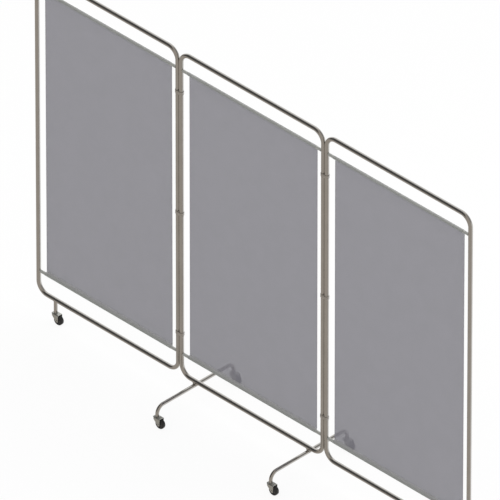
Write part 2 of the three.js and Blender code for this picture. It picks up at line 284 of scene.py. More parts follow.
@dataclass(frozen=True)
class PlatedTube(HardFinish):
    """Bright plated tube, faintly clouded by handling and polished to a fine grain."""

    name: str = "plated_tube"
    slot: Slot = Slot.FRAME_STEEL
    fresh: Colour = (0.55, 0.528, 0.5)
    worn: Colour = (0.47, 0.45, 0.422)
    rough: Range = (0.13, 0.24)
    cloud: float = 60 * MM
    cloud_detail: int = 4
    depth: float = 0.01 * MM
    grain: float = 1.2 * MM
    grain_detail: int = 2
    metal: float = 1.0


@dataclass(frozen=True)
class BrushedBand(PlatedTube):
    """The tube's plating, brushed dull on the hinge bands."""

    name: str = "brushed_band"
    rough: Range = (0.38, 0.5)


@dataclass(frozen=True)
class SatinRod(HardFinish):
    """Drawn steel rod with a satin finish and marks drawn out along X."""

    name: str = "satin_rod"
    slot: Slot = Slot.ROD_STEEL
    fresh: Colour = (0.5, 0.506, 0.482)
    worn: Colour = (0.43, 0.436, 0.412)
    rough: Range = (0.4, 0.52)
    cloud: float = 0.8 * MM
    cloud_detail: int = 3
    depth: float = 0.02 * MM
    metal: float = 0.4
    stretch: float = 0.03


@dataclass(frozen=True)
class WeldMetal(HardFinish):
    """A plated weld, rippled and duller than the tube."""

    name: str = "weld_metal"
    slot: Slot = Slot.FRAME_STEEL
    fresh: Colour = (0.46, 0.43, 0.39)
    worn: Colour = (0.36, 0.335, 0.3)
    rough: Range = (0.28, 0.45)
    cloud: float = 2.2 * MM
    cloud_detail: int = 2
    depth: float = 0.15 * MM
    metal: float = 0.4


@dataclass(frozen=True)
class PressedZinc(HardFinish):
    """Zinc-plated pressed sheet, softly spangled."""

    name: str = "pressed_zinc"
    slot: Slot = Slot.CASTER_ZINC
    fresh: Colour = (0.58, 0.585, 0.555)
    worn: Colour = (0.46, 0.465, 0.435)
    rough: Range = (0.34, 0.5)
    cloud: float = 5 * MM
    cloud_detail: int = 3
    depth: float = 0.02 * MM
    grain: float = 0.5 * MM
    metal: float = 1.0


@dataclass(frozen=True)
class MouldedNylon(HardFinish):
    """Dark grey nylon with a fine moulded grain and light scuffs."""

    name: str = "moulded_nylon"
    slot: Slot = Slot.WHEEL_NYLON
    fresh: Colour = (0.034, 0.034, 0.036)
    worn: Colour = (0.06, 0.06, 0.062)
    rough: Range = (0.38, 0.55)
    cloud: float = 4 * MM
    cloud_detail: int = 4
    depth: float = 0.02 * MM
    grain: float = 0.4 * MM


@dataclass(frozen=True)
class TyreRubber(HardFinish):
    """Black rubber with dust in its fine grain."""

    name: str = "tyre_rubber_black"
    slot: Slot = Slot.TYRE_RUBBER
    fresh: Colour = (0.008, 0.008, 0.0083)
    worn: Colour = (0.022, 0.0215, 0.021)
    rough: Range = (0.4, 0.62)
    cloud: float = 7 * MM
    cloud_detail: int = 5
    depth: float = 0.03 * MM
    grain: float = 0.6 * MM


@dataclass(frozen=True)
class SewingThread(Finish):
    """Grey twisted polyester thread."""

    name: str = "sewing_thread"
    slot: Slot = Slot.CURTAIN_CLOTH
    dark: Colour = (0.2, 0.2, 0.205)
    light: Colour = (0.3, 0.3, 0.305)
    twist: float = 0.6 * MM
    twist_detail: int = 1
    rough: float = 0.7
    sheen: float = 0.2

    def dress(self, shader: Shader) -> None:
        """Shades the thread by its twist.

        Args:
            shader: The material's nodes.
        """
        shader.fix(roughness=self.rough, sheen_weight=self.sheen)
        twist = shader.noise(shader.coordinates(), self.twist, self.twist_detail)
        shader.feed("Base Color", shader.blend(shader.spread(twist, (0, 1)), self.dark, self.light))


@dataclass(frozen=True)
class CurtainCloth(Finish):
    """Plain woven grey cloth, slightly see-through between its threads, with a painted show-through of each
    rod and painted light where each folded layer ends.
    """

    name: str = "curtain_cloth_grey"
    slot: Slot = Slot.CURTAIN_CLOTH
    dark: Colour = (0.284, 0.278, 0.312)
    light: Colour = (0.292, 0.285, 0.321)
    # painted show-through: the steel rod's grey-green seen through the cloth round it, in a band about each
    # rod's height
    sleeve: Colour = (0.385, 0.392, 0.374)
    show_through_reach: Range = (5.5 * MM, 7.5 * MM)  # from the rod, where its colour starts and stops to fade
    # painted light that lifts the shade of the crevice and the doubled layer where each folded layer ends
    # over the sheet
    painted_hem_light: Colour = (0.5, 0.5, 0.5)
    painted_hem_light_reach: Range = (9.5 * MM, 11.5 * MM)
    cover: Range = (0.64, 0.7)  # between the threads, and on them
    thread: float = 0.8 * MM
    depth: float = 0.12 * MM
    relief: float = 0.6
    cloud: float = 90 * MM
    cloud_detail: int = 4
    rough: float = 0.9
    sheen: float = 0.08
    shine: float = 0.2

    def dress(self, shader: Shader) -> None:
        """Lays a plain weave on the cloth's own map, in metres along weft and warp.

        Args:
            shader: The material's nodes.
        """
        shader.fix(roughness=self.rough, sheen_weight=self.sheen, specular_ior_level=self.shine)
        flat = shader.coordinates("UV")
        clouds = shader.noise(flat, self.cloud, self.cloud_detail)
        plain = shader.blend(shader.spread(clouds, (0, 1)), self.dark, self.light)
        # paints light over the shade where each folded layer ends, near each rod
        with_painted_hem_light = shader.blend(self.near_rods(shader, self.painted_hem_light_reach), plain, self.painted_hem_light)
        # paints the rod's show-through over the cloth in front of each rod
        with_painted_show_through = shader.blend(self.near_rods(shader, self.show_through_reach), with_painted_hem_light, self.sleeve)
        shader.feed("Base Color", with_painted_show_through)
        weave = self.weave(shader, flat)
        shader.feed("Alpha", shader.spread(weave, self.cover, (0, 1)))
        shader.raise_by(weave, self.depth, self.relief)

    @staticmethod
    def near_rods(shader: Shader, reach: Range) -> NodeSocket:
        """Where the cloth is near a rod.

        Args:
            shader: The material's nodes.
            reach: The distances from a rod's axis at which nearness starts and stops to fall.

        Returns:
            The nearness, 1 near a rod and 0 far off.
        """
        height = shader.parts(shader.coordinates())["Z"]
        rods = (middle_of(f"middle_{level.value}_rod").z for level in RodLevel)
        distances = (shader.math("ABSOLUTE", shader.math("SUBTRACT", height, rod)) for rod in rods)
        return shader.spread(shader.math("MINIMUM", *distances), (1, 0), reach)

    def weave(self, shader: Shader, flat: NodeSocket) -> NodeSocket:
        """The height of a plain weave, where warp and weft threads pass over each other in turn.

        Args:
            shader: The material's nodes.
            flat: The cloth's map.

        Returns:
            The height, from 0 in the gaps to 1 on the threads.
        """
        parts = shader.parts(shader.scaled(flat, (math.pi / self.thread,) * 3))
        across, along = (shader.math("SINE", parts[axis]) for axis in ("X", "Y"))
        return shader.math("ABSOLUTE", shader.math("MULTIPLY", across, along))


# Shaping


def of_kind(kind: type, geometry: Iterable[object]) -> list[BMVert] | list[BMEdge]:
    """The vertices, or else the edges, among an operator's results."""
    return [item for item in geometry if isinstance(item, kind)]


def face_out(bm: BMesh) -> None:
    """Turns every face outwards."""
    bmesh.ops.recalc_face_normals(bm, faces=bm.faces[:])


def close_up(bm: BMesh) -> None:
    """Joins what meets and turns every face outwards."""
    bmesh.ops.remove_doubles(bm, verts=bm.verts[:], dist=WELD_DISTANCE)
    face_out(bm)


def facing(place: Vector, axis: Vector) -> Matrix:
    """The move that brings the origin to a place and turns Z to an axis."""
    return Matrix.Translation(place) @ axis.to_track_quat("Z", "Y").to_matrix().to_4x4()


def arc(radius: float, start: float, end: float, steps: int) -> list[Point]:
    """Points on an arc about the origin, from a start angle to an end angle."""
    turns = [start + (end - start) * step / steps for step in range(steps + 1)]
    return [(radius * math.cos(turn), radius * math.sin(turn)) for turn in turns]


def mirrored(half: Sequence[Point]) -> list[Point]:
    """The upper half of an outline, followed by its mirror image."""
    return [*half, *((radius, -height) for radius, height in reversed(half))]


def draw(bm: BMesh, points: Iterable[Sequence[float]], closed: bool = False) -> list[BMVert]:
    """Draws an outline.

    Args:
        bm: The mesh that gets it.
        points: Its corners.
        closed: Whether its last corner joins its first.

    Returns:
        Its vertices.
    """
    verts = [bm.verts.new(point) for point in points]
    for pair in zip(verts, verts[1:] + verts[:1] if closed else verts[1:]):
        bm.edges.new(pair)
    return verts


def pull(bm: BMesh, edges: Sequence[BMEdge], way: Vector) -> list[BMEdge]:
    """Pulls edges out into faces.

    Args:
        bm: The mesh that holds them.
        edges: The edges.
        way: How far, and which way.

    Returns:
        The edges at the far side.
    """
    made = bmesh.ops.extrude_edge_only(bm, edges=edges)["geom"]
    far = of_kind(BMVert, made)
    bmesh.ops.translate(bm, verts=far, vec=way)
    return [edge for edge in of_kind(BMEdge, made) if set(edge.verts) <= set(far)]


def swing(
    bm: BMesh, edges: Sequence[BMEdge], pivot: Vector, axis: Vector, angle: float, steps: int
) -> list[BMEdge]:
    """Swings edges round an axis, leaving faces behind them. A whole turn joins up with its start.

    Args:
        bm: The mesh that holds them.
        edges: The edges.
        pivot: A point on the axis.
        axis: The axis.
        angle: How far they swing.
        steps: Faces along the way of each edge.

    Returns:
        The edges at the far side.
    """
    geometry = [*{vert: None for edge in edges for vert in edge.verts}, *edges]
    made = bmesh.ops.spin(
        bm, geom=geometry, cent=pivot, axis=axis, angle=angle, steps=steps, use_merge=angle == FULL_TURN
    )
    return of_kind(BMEdge, made["geom_last"])


def soften(bm: BMesh, geometry: Sequence[BMVert | BMEdge], radius: float, steps: int = 3) -> None:
    """Rounds corners of an open outline, or edges of a solid.

    Args:
        bm: The mesh.
        geometry: The corners or the edges.
        radius: How much is taken off at each side.
        steps: Segments of each curve.
    """
    affect = "VERTICES" if isinstance(geometry[0], BMVert) else "EDGES"
    bmesh.ops.bevel(
        bm, geom=geometry, offset=radius, offset_type="OFFSET", segments=steps, profile=0.5,
        affect=affect, clamp_overlap=True, material=-1,
    )


def sharp_edges(bm: BMesh, least: float = SHARP_EDGE) -> list[BMEdge]:
    """The edges where two faces meet at more than an angle."""
    return [edge for edge in bm.edges if edge.calc_face_angle(0.0) > least]


def thicken(bm: BMesh, face: BMFace, outward: Vector, thickness: float) -> None:
    """Gives a bare surface a wall on its inner side.

    Args:
        bm: The surface.
        face: One of its faces.
        outward: A direction out of the wall at that face.
        thickness: The wall's thickness.
    """
    if face.normal.dot(outward) < 0:
        bmesh.ops.reverse_faces(bm, faces=bm.faces[:])
    bmesh.ops.solidify(bm, geom=bm.faces[:], thickness=thickness)
    face_out(bm)


def turned(
    outline: Sequence[Point], centre: Vector, axis: Vector, sides: int, rounding: float = 0.0
) -> BMesh:
    """A piece turned on a lathe.

    Args:
        outline: Its corners as (radius, height along the axis). It starts and ends on the axis, or
            closes on itself.
        centre: The point that heights are measured from.
        axis: The axis of the lathe.
        sides: Facets round it.
        rounding: How far each corner off the axis is rounded.

    Returns:
        The closed mesh.
    """
    bm = bmesh.new()
    closed = outline[0] == outline[-1]
    corners = outline[:-1] if closed else outline
    verts = draw(bm, [(radius, 0, height) for radius, height in corners], closed)
    if rounding:
        soften(bm, [vert for vert in verts if vert.co.x > 0], rounding, CORNER_STEPS)
    swing(bm, bm.edges[:], Vector(), Z_AXIS, FULL_TURN, sides)
    close_up(bm)
    bmesh.ops.transform(bm, matrix=facing(centre, axis), verts=bm.verts[:])
    return bm


def box(bm: BMesh, middle: Vector, size: Sequence[float]) -> None:
    """Adds a box of a size about its middle."""
    bmesh.ops.create_cube(bm, size=1, matrix=Matrix.Translation(middle) @ Matrix.Diagonal((*size, 1)))


def capsule(bm: BMesh, start: Vector, end: Vector, radius: float, sides: int = 12) -> None:
    """Adds a round-ended bar, such as a weld bead.

    Args:
        bm: The mesh that gets it.
        start: The centre of one end.
        end: The centre of the other end.
        radius: Half its thickness.
        sides: Facets round it.
    """
    heading = end - start
    made = bmesh.ops.create_uvsphere(
        bm, u_segments=sides, v_segments=sides // 2, radius=radius, matrix=facing(start, heading)
    )
    ahead = heading.normalized()
    far = [vert for vert in made["verts"] if (vert.co - start).dot(ahead) > WELD_DISTANCE]
    bmesh.ops.translate(bm, verts=far, vec=heading)


class TubeRun:
    """A round tube that is drawn out straight and bent, ring by ring."""

    def __init__(self, start: Vector, heading: Vector, radius: float) -> None:
        """Sets the first ring.

        Args:
            start: The centre of the first ring.
            heading: The direction that the tube sets out in.
            radius: The tube's outer radius.
        """
        self.bm = bmesh.new()
        self.centre, self.heading = start, heading
        bmesh.ops.create_circle(self.bm, segments=TUBE_SIDES, radius=radius, matrix=facing(start, heading))
        self.ring = self.first_ring = self.bm.edges[:]

    def straight(self, length: float) -> None:
        """Draws the tube out straight by a length."""
        self.ring = pull(self.bm, self.ring, self.heading * length)
        self.centre = self.centre + self.heading * length

    def bend(self, toward: Vector, radius: float, length: float) -> None:
        """Bends the tube by a quarter turn and draws it on straight.

        Args:
            toward: The direction it leaves in.
            radius: The bend's radius to the tube's centre line.
            length: The straight length after the bend.
        """
        pivot = self.centre + toward * radius
        self.ring = swing(self.bm, self.ring, pivot, self.heading.cross(toward), QUARTER_TURN, BEND_STEPS)
        self.centre, self.heading = pivot + self.heading * radius, toward
        self.straight(length)

    def cap_both(self) -> None:
        """Closes the tube's two ends."""
        for ring in (self.first_ring, self.ring):
            bmesh.ops.edgeloop_fill(self.bm, edges=ring)

    def finished(self) -> BMesh:
        """The tube with its rings joined where they meet."""
        close_up(self.bm)
        return self.bm


def show(bm: BMesh, name: str, finish: Finish) -> Object:
    """Makes a mesh an object of the scene.

    Args:
        bm: The finished mesh, which is used up.
        name: The object's name.
        finish: Its finish.

    Returns:
        The new object.
    """
    mesh = bpy.data.meshes.new(name)
    bm.to_mesh(mesh)
    bm.free()
    mesh.materials.append(finish.material())
    shown = bpy.data.objects.new(name, mesh)
    bpy.context.scene.collection.objects.link(shown)
    return shown


def put(bm: BMesh, name: str, finish: Finish, body: str, *nodes: str) -> Object:
    """Makes a mesh one of the screen's pieces.

    Args:
        bm: The finished mesh, which is used up.
        name: The piece's name.
        finish: Its finish.
        body: What it rides on.
        nodes: The nodes that it stands for.

    Returns:
        The new object.
    """
    for face in bm.faces:
        face.smooth = True
    for edge in bm.edges:
        edge.smooth = edge.calc_face_angle(0.0) < SOFT_EDGE
    piece = show(bm, name, finish)
    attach(piece, body)
    if nodes:
        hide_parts(*nodes)
    log.info("%s: %d faces on %s", name, len(piece.data.polygons), body)
    return piece


def middle_of(node: str) -> Vector:
    """The middle of a node's box."""
    low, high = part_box(node)
    return (low + high) / 2


# Frames, rods and curtains


@dataclass(frozen=True)
class TubeFrame:
    """A frame of one round tube, bent at its four corners, with its two rods."""

    word: str
    body: str
    tube_radius: float = FRAME_RADIUS
    bend_radius: float = 50 * MM
    rod_chamfer: float = 0.6 * MM
    rod_pin_radius: float = 3 * MM
    rod_pin_length: float = 6 * MM
    rod_sides: int = 32

    def build(self) -> None:
        """Builds the frame and its rods."""
        self.build_tube(f"{self.word}_frame")
        for level in RodLevel:
            self.build_rod(f"{self.word}_{level.value}_rod")

    def build_tube(self, node: str) -> None:
        """Bends the tube round its four corners, from the middle of the left upright and back.

        Args:
            node: The frame's node.
        """
        low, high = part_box(node)
        inset = self.tube_radius + self.bend_radius
        up = (high.z - low.z) / 2 - inset
        across = high.x - low.x - 2 * inset
        start = Vector((low.x + self.tube_radius, middle_of(node).y, (low.z + high.z) / 2))
        run = TubeRun(start, -Z_AXIS, self.tube_radius)
        run.straight(up)
        for toward, length in ((X_AXIS, across), (Z_AXIS, 2 * up), (-X_AXIS, across), (-Z_AXIS, up)):
            run.bend(toward, self.bend_radius, length)
        put(run.finished(), f"{node}_tube", PlatedTube(), self.body, node)

    def build_rod(self, node: str) -> None:
        """Turns a rod with thinner ends.

        Args:
            node: The rod's node.
        """
        low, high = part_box(node)
        end = (high.x - low.x) / 2
        shoulder = end - self.rod_pin_length
        pin, thick, cut = self.rod_pin_radius, (high.z - low.z) / 2, self.rod_chamfer
        half = [
            (0, end), (pin - cut, end), (pin, end - cut), (pin, shoulder), (thick - cut, shoulder),
            (thick, shoulder - cut),
        ]
        rod = turned(mirrored(half), middle_of(node), X_AXIS, self.rod_sides)
        put(rod, f"{node}_bar", SatinRod(), self.body, node)


@dataclass(frozen=True)
class Curtain:
    """A flat curtain sewn round an upper and a lower rod."""

    word: str
    body: str
    cloth: float = 0.6 * MM
    ease: float = 0.7 * MM  # from a rod to the middle of the cloth round it
    seam_drop: float = 8.6 * MM  # from the rod's axis to the seam
    painted_hem_light_drop: float = 10 * MM  # from the rod's axis to the end of the folded cloth
    layer_gap: float = 0.75 * MM  # between the middles of two layers at the seam
    wrap_steps: int = 14
    rows: int = 90
    columns: int = 56
    sway: float = 0.9 * MM
    # each wave's share, its turns across and down, and the angle that it starts at
    waves: tuple[tuple[float, ...], ...] = ((0.6, 1.5, 0.12, 0), (0.4, 0.7, -1.1, 1))
    stitch_length: float = 2.6 * MM
    stitch_pitch: float = 3.8 * MM
    stitch_width: float = 0.5 * MM
    stitch_round: float = 0.5 * MM / 3
    edge_roll: float = 0.75 * MM

    @property
    def node(self) -> str:
        """The curtain's node."""
        return f"{self.word}_curtain"

    @cached_property
    def rod_heights(self) -> tuple[float, ...]:
        """The heights of the upper and the lower rod's axis."""
        return tuple(middle_of(f"{self.word}_{level.value}_rod").z for level in RodLevel)

    @cached_property
    def wrap_radius(self) -> float:
        """The radius of the cloth round a rod, to the cloth's middle."""
        low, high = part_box(f"{self.word}_upper_rod")
        return (high.z - low.z) / 2 + self.ease

    @cached_property
    def edges(self) -> tuple[float, float]:
        """The places of the curtain's two side edges along X."""
        low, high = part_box(self.node)
        return low.x, high.x

    @property
    def seam_y(self) -> float:
        """The depth of the folded layer at the seam, in front of the sheet."""
        return self.wrap_radius - self.layer_gap

    @property
    def tangent_turn(self) -> float:
        """The angle at which the folded layer leaves the front of the upper rod, from +Y."""
        reach = math.hypot(self.seam_y, self.seam_drop)
        return math.atan2(-self.seam_drop, self.seam_y) - math.acos(self.wrap_radius / reach)

    @property
    def cut_length(self) -> float:
        """The length of the flat cloth before it is sewn, with both sleeves opened out.

        Returns:
            The length.
        """
        upper, lower = self.rod_heights
        lean = self.seam_drop - self.wrap_radius * math.sin(-self.tangent_turn)
        flap = math.hypot(lean, self.seam_y - self.wrap_radius * math.cos(self.tangent_turn))
        wrap = self.wrap_radius * (FULL_TURN + self.tangent_turn)
        return upper - lower + 2 * (wrap + flap + self.painted_hem_light_drop - self.seam_drop)

    def build(self) -> None:
        """Builds the sheet, its seams and its rolled side edges."""
        trims = [self.build_seams(), self.build_edges()]
        sheet = self.build_sheet()
        left, right = self.edges
        length = self.cut_length
        f"{self.word}_upper_rod_bar"
        f"{self.word}_lower_rod_bar"

    def sleeve(self, height: float, sign: int) -> list[tuple[float, float, float]]:
        """The outline of one sleeve, from the end of the folded layer to the sheet.

        Args:
            height: The height of the rod's axis.
            sign: 1 for the upper sleeve and -1 for the lower one, which is its mirror image.

        Returns:
            Its corners.
        """
        wrap = arc(self.wrap_radius, self.tangent_turn, -FULL_TURN, self.wrap_steps)
        outline = [(self.seam_y, -self.painted_hem_light_drop), (self.seam_y, -self.seam_drop), *wrap]
        return [(self.edges[0], y, height + sign * z) for y, z in outline]

    def build_sheet(self) -> Object:
        """Draws the cloth's outline round both rods, pulls it across and lets it sway a little.

        Returns:
            The curtain's piece.
        """
        upper, lower = self.rod_heights
        left, right = self.edges
        bm = bmesh.new()
        along, length = bm.verts.layers.float.new("along"), 0.0
        over, under = draw(bm, self.sleeve(upper, 1)), draw(bm, self.sleeve(lower, -1))
        fall = bm.edges.new((over[-1], under[-1]))
        outline = [*over, *reversed(under)]
        for here, onward in zip(outline, outline[1:]):
            length += (onward.co - here.co).length
            onward[along] = length
        bmesh.ops.subdivide_edges(bm, edges=[fall], cuts=self.rows)
        step = X_AXIS * ((right - left) / self.columns)
        bmesh.ops.spin(
            bm, geom=bm.verts[:] + bm.edges[:], cent=(0, 0, 0), axis=X_AXIS, angle=0, dvec=step,
            steps=self.columns, use_merge=False,
        )
        close_up(bm)
        self.map_cloth(bm)
        self.let_sway(bm)
        rearmost = max(bm.faces, key=lambda face: face.calc_center_median().y)
        thicken(bm, rearmost, Y_AXIS, self.cloth)
        return put(bm, f"{self.word}_cloth", CurtainCloth(), self.body, self.node)

    @staticmethod
    def map_cloth(bm: BMesh) -> None:
        """Lays the cloth's flat map on it, in metres across and along.

        Args:
            bm: The cloth, with the length along it on its vertices.
        """
        along = bm.verts.layers.float["along"]
        flat = bm.loops.layers.uv.new("cloth")
        for face in bm.faces:
            for loop in face.loops:
                loop[flat].uv = (loop.vert.co.x, loop.vert[along])

    def let_sway(self, bm: BMesh) -> None:
        """Moves the sheet a little out of flat between its rods, and not at all at the rods.

        Args:
            bm: The cloth.
        """
        upper, lower = self.rod_heights
        left, right = self.edges
        for vert in bm.verts:
            down = (upper - vert.co.z) / (upper - lower)
            across = (vert.co.x - left) / (right - left)
            if vert.co.y < self.wrap_radius - WELD_DISTANCE or not 0 < down < 1:
                continue
            vert.co.y += self.sway * math.sqrt(math.sin(math.pi * down)) * sum(
                share * math.sin(FULL_TURN * (turns_across * across + turns_down * down) + start)
                for share, turns_across, turns_down, start in self.waves
            )

    def build_seams(self) -> Object:
        """Sews a row of stitches under the upper sleeve and over the lower one.

        Returns:
            The stitches' piece.
        """
        upper, lower = self.rod_heights
        left, right = self.edges
        bm = bmesh.new()
        depth = self.layer_gap + self.cloth + self.stitch_width
        middle_y = (self.wrap_radius + self.seam_y) / 2
        for height in (upper - self.seam_drop, lower + self.seam_drop):
            for number in range(int((right - left) / self.stitch_pitch)):
                place = Vector((left + (number + 0.5) * self.stitch_pitch, middle_y, height))
                box(bm, place, (self.stitch_length, depth, self.stitch_width))
        soften(bm, bm.edges[:], self.stitch_round, steps=1)
        return put(bm, f"{self.word}_seam_stitches", SewingThread(), self.body)

    def build_edges(self) -> Object:
        """Rolls the cloth's two side edges into thin cords.

        Returns:
            The rolled edges' piece.
        """
        upper, lower = self.rod_heights
        bm = bmesh.new()
        for place in self.edges:
            top = Vector((place, self.wrap_radius, upper - self.painted_hem_light_drop))
            bottom = Vector((place, self.wrap_radius, lower + self.painted_hem_light_drop))
            capsule(bm, top, bottom, self.edge_roll)
        return put(bm, f"{self.word}_rolled_edges", CurtainCloth(), self.body)


# Feet, legs and hinge bands


@dataclass(frozen=True)
class FootBar:
    """A foot bar bent down at both ends and joined to the bottom rail by a saddle."""

    side: Side
    tube_radius: float = FOOT_RADIUS
    straight_end: float = 7.4 * MM
    rail_radius: float = FRAME_RADIUS
    saddle_length: float = 20 * MM
    saddle_depth: float = 14 * MM
    saddle_round: float = 2.5 * MM
    bead_radius: float = 1.5 * MM
    clearance: float = 1 * MM

    @property
    def node(self) -> str:
        """The foot's node."""
        return f"{self.side.word}_foot"

    def build(self) -> None:
        """Builds the bar and its welded saddle."""
        low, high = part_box(self.node)
        place = middle_of(self.node)
        bar_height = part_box("middle_frame")[0].z - self.clearance - self.tube_radius
        bend_radius = bar_height - low.z - self.straight_end
        span = high.y - low.y - 2 * (self.tube_radius + bend_radius)
        run = TubeRun(Vector((place.x, low.y + self.tube_radius, low.z)), Z_AXIS, self.tube_radius)
        run.straight(self.straight_end)
        run.bend(Y_AXIS, bend_radius, span)
        run.bend(-Z_AXIS, bend_radius, self.straight_end)
        run.cap_both()
        put(run.finished(), f"{self.node}_bar", PlatedTube(), "middle", self.node)
        self.build_saddle(place.x, bar_height)

    def build_saddle(self, x: float, bar_height: float) -> None:
        """Builds the saddle block between bar and rail, with a weld bead along each top edge.

        Args:
            x: The bar's place along X.
            bar_height: The height of the bar's centre line.
        """
        rail_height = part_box("middle_frame")[0].z + self.rail_radius
        bm = bmesh.new()
        size = (self.saddle_length, self.saddle_depth, rail_height - bar_height)
        box(bm, Vector((x, 0, (rail_height + bar_height) / 2)), size)
        soften(bm, bm.edges[:], self.saddle_round)
        half = self.saddle_depth / 2
        seam_height = rail_height - math.sqrt(self.rail_radius**2 - half**2)
        reach = self.saddle_length / 2 - self.bead_radius
        for sign in (-1, 1):
            start = Vector((x - reach, sign * half, seam_height))
            capsule(bm, start, start + X_AXIS * (2 * reach), self.bead_radius)
        put(bm, f"{self.node}_saddle", WeldMetal(), "middle")


@dataclass(frozen=True)
class WingLeg:
    """A short straight leg under a wing's bottom rail."""

    side: Side
    tube_radius: float = FOOT_RADIUS
    rail_radius: float = FRAME_RADIUS
    bead_radius: float = 1.3 * MM
    bead_sides: int = 10
    bead_steps: int = 64

    def build(self) -> None:
        """Builds the leg and the weld round its top."""
        node, body = f"{self.side.word}_leg", f"{self.side.word}_wing"
        place = middle_of(node)
        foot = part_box(node)[0].z
        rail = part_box(f"{self.side.word}_frame")[0].z + self.rail_radius
        run = TubeRun(Vector((place.x, place.y, foot)), Z_AXIS, self.tube_radius)
        run.straight(rail - foot)
        run.cap_both()
        put(run.finished(), f"{node}_tube", PlatedTube(), body, node)
        put(self.weld(place, rail), f"{node}_weld", WeldMetal(), body)

    def weld(self, place: Vector, rail: float) -> BMesh:
        """Runs a weld bead round the leg where it meets the rail.

        Args:
            place: The leg's axis.
            rail: The height of the rail's centre line.

        Returns:
            The bead.
        """
        bm = bmesh.new()
        offset = Vector((place.x + self.tube_radius, place.y, 0))
        stance = Matrix.Translation(offset) @ Matrix.Rotation(QUARTER_TURN, 4, X_AXIS)
        bmesh.ops.create_circle(bm, segments=self.bead_sides, radius=self.bead_radius, matrix=stance)
        swing(bm, bm.edges[:], place, Z_AXIS, FULL_TURN, self.bead_steps)
        for vert in bm.verts:
            depth = min(abs(vert.co.y - place.y), self.tube_radius)
            vert.co.z += rail - math.sqrt(self.rail_radius**2 - depth**2)
        close_up(bm)
        return bm


@dataclass(frozen=True)
class HingeBand:
    """A thin strap round two neighbouring uprights, resting on a peg."""

    side: Side
    level: BandLevel
    thickness: float = 1.2 * MM
    edge_round: float = 0.35 * MM
    turn_steps: int = 32
    peg_radius: float = 1.5 * MM
    peg_reach: float = 1.8 * MM
    peg_root: float = 1 * MM
    peg_round: float = 0.4 * MM
    peg_sides: int = 20
    upright_radius: float = FRAME_RADIUS
    web_tip: float = 0.25 * MM  # half the web's thickness where it is thinnest
    web_root: float = 0.4 * MM  # how deep the web sits in the strap
    web_inset: float = 0.1 * MM  # from the strap's edge
    web_round: float = 0.1 * MM
    web_steps: int = 12

    @property
    def node(self) -> str:
        """The band's node."""
        return f"{self.side.word}_{self.level.value}_band"

    def build(self) -> None:
        """Builds the band, its webs and its peg."""
        low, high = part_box(self.node)
        half_depth = (high.y - low.y) / 2
        reach = (high.x - low.x) / 2 - half_depth
        centre = middle_of(self.node)
        bm = bmesh.new()
        draw(bm, [(centre.x + reach, -half_depth, height) for height in (low.z, high.z)])
        wall = bm.edges[:]
        for sign in (1, -1):
            pivot = Vector((centre.x + sign * reach, 0, 0))
            wall = swing(bm, wall, pivot, Z_AXIS, math.pi, self.turn_steps)
            wall = pull(bm, wall, X_AXIS * (-sign * 2 * reach))
        close_up(bm)
        face = bm.faces[0]
        thicken(bm, face, face.calc_center_median() - centre, self.thickness)
        soften(bm, sharp_edges(bm), self.edge_round, steps=2)
        links = f"{self.side.word}_links"
        put(bm, f"{self.node}_strap", BrushedBand(), links, self.node)
        webs = self.webs(Vector((centre.x, centre.y, low.z)), reach, high.z - low.z)
        put(webs, f"{self.node}_webs", WeldMetal(), links)
        put(self.peg(low.z), f"{self.node}_peg", BrushedBand(), "middle")

    def webs(self, foot: Vector, reach: float, height: float) -> BMesh:
        """Closes the two hollows between the uprights and the strap.

        Args:
            foot: The middle of the strap's lower edge.
            reach: From there to an upright's axis.
            height: The strap's height.

        Returns:
            The two webs.
        """
        bore = self.upright_radius + SEAT
        tip = math.acos((reach - self.web_tip) / bore)
        hollow = [(x - reach, y) for x, y in arc(bore, QUARTER_TURN, tip, self.web_steps)]
        root = bore + self.web_root
        outline = [(-reach, root), *hollow, *((-x, y) for x, y in reversed(hollow)), (reach, root)]
        bm = bmesh.new()
        for sign in (1, -1):
            draw(bm, [foot + Vector((x, sign * y, self.web_inset)) for x, y in outline], closed=True)
            rim = [edge for edge in bm.edges if edge.is_wire]
            web = bmesh.ops.edgeloop_fill(bm, edges=rim)["faces"]
            made = bmesh.ops.extrude_face_region(bm, geom=web)["geom"]
            bmesh.ops.translate(bm, verts=of_kind(BMVert, made), vec=(0, 0, height - 2 * self.web_inset))
        face_out(bm)
        soften(bm, sharp_edges(bm), self.web_round, steps=1)
        return bm

    def peg(self, band_bottom: float) -> BMesh:
        """Turns the peg that the band rests on, on the inner side of the middle frame's upright.

        Args:
            band_bottom: The height of the band's lower edge.

        Returns:
            The peg.
        """
        low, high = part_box("middle_frame")
        upright = high.x - self.upright_radius if self.side is Side.RIGHT else low.x + self.upright_radius
        inward = -X_AXIS * self.side.value
        face = Vector((upright, 0, band_bottom - SEAT - self.peg_radius)) + inward * self.upright_radius
        outline = [
            (0, -self.peg_root), (self.peg_radius, -self.peg_root), (self.peg_radius, self.peg_reach),
            (0, self.peg_reach),
        ]
        return turned(outline, face, inward, self.peg_sides, self.peg_round)


# Casters


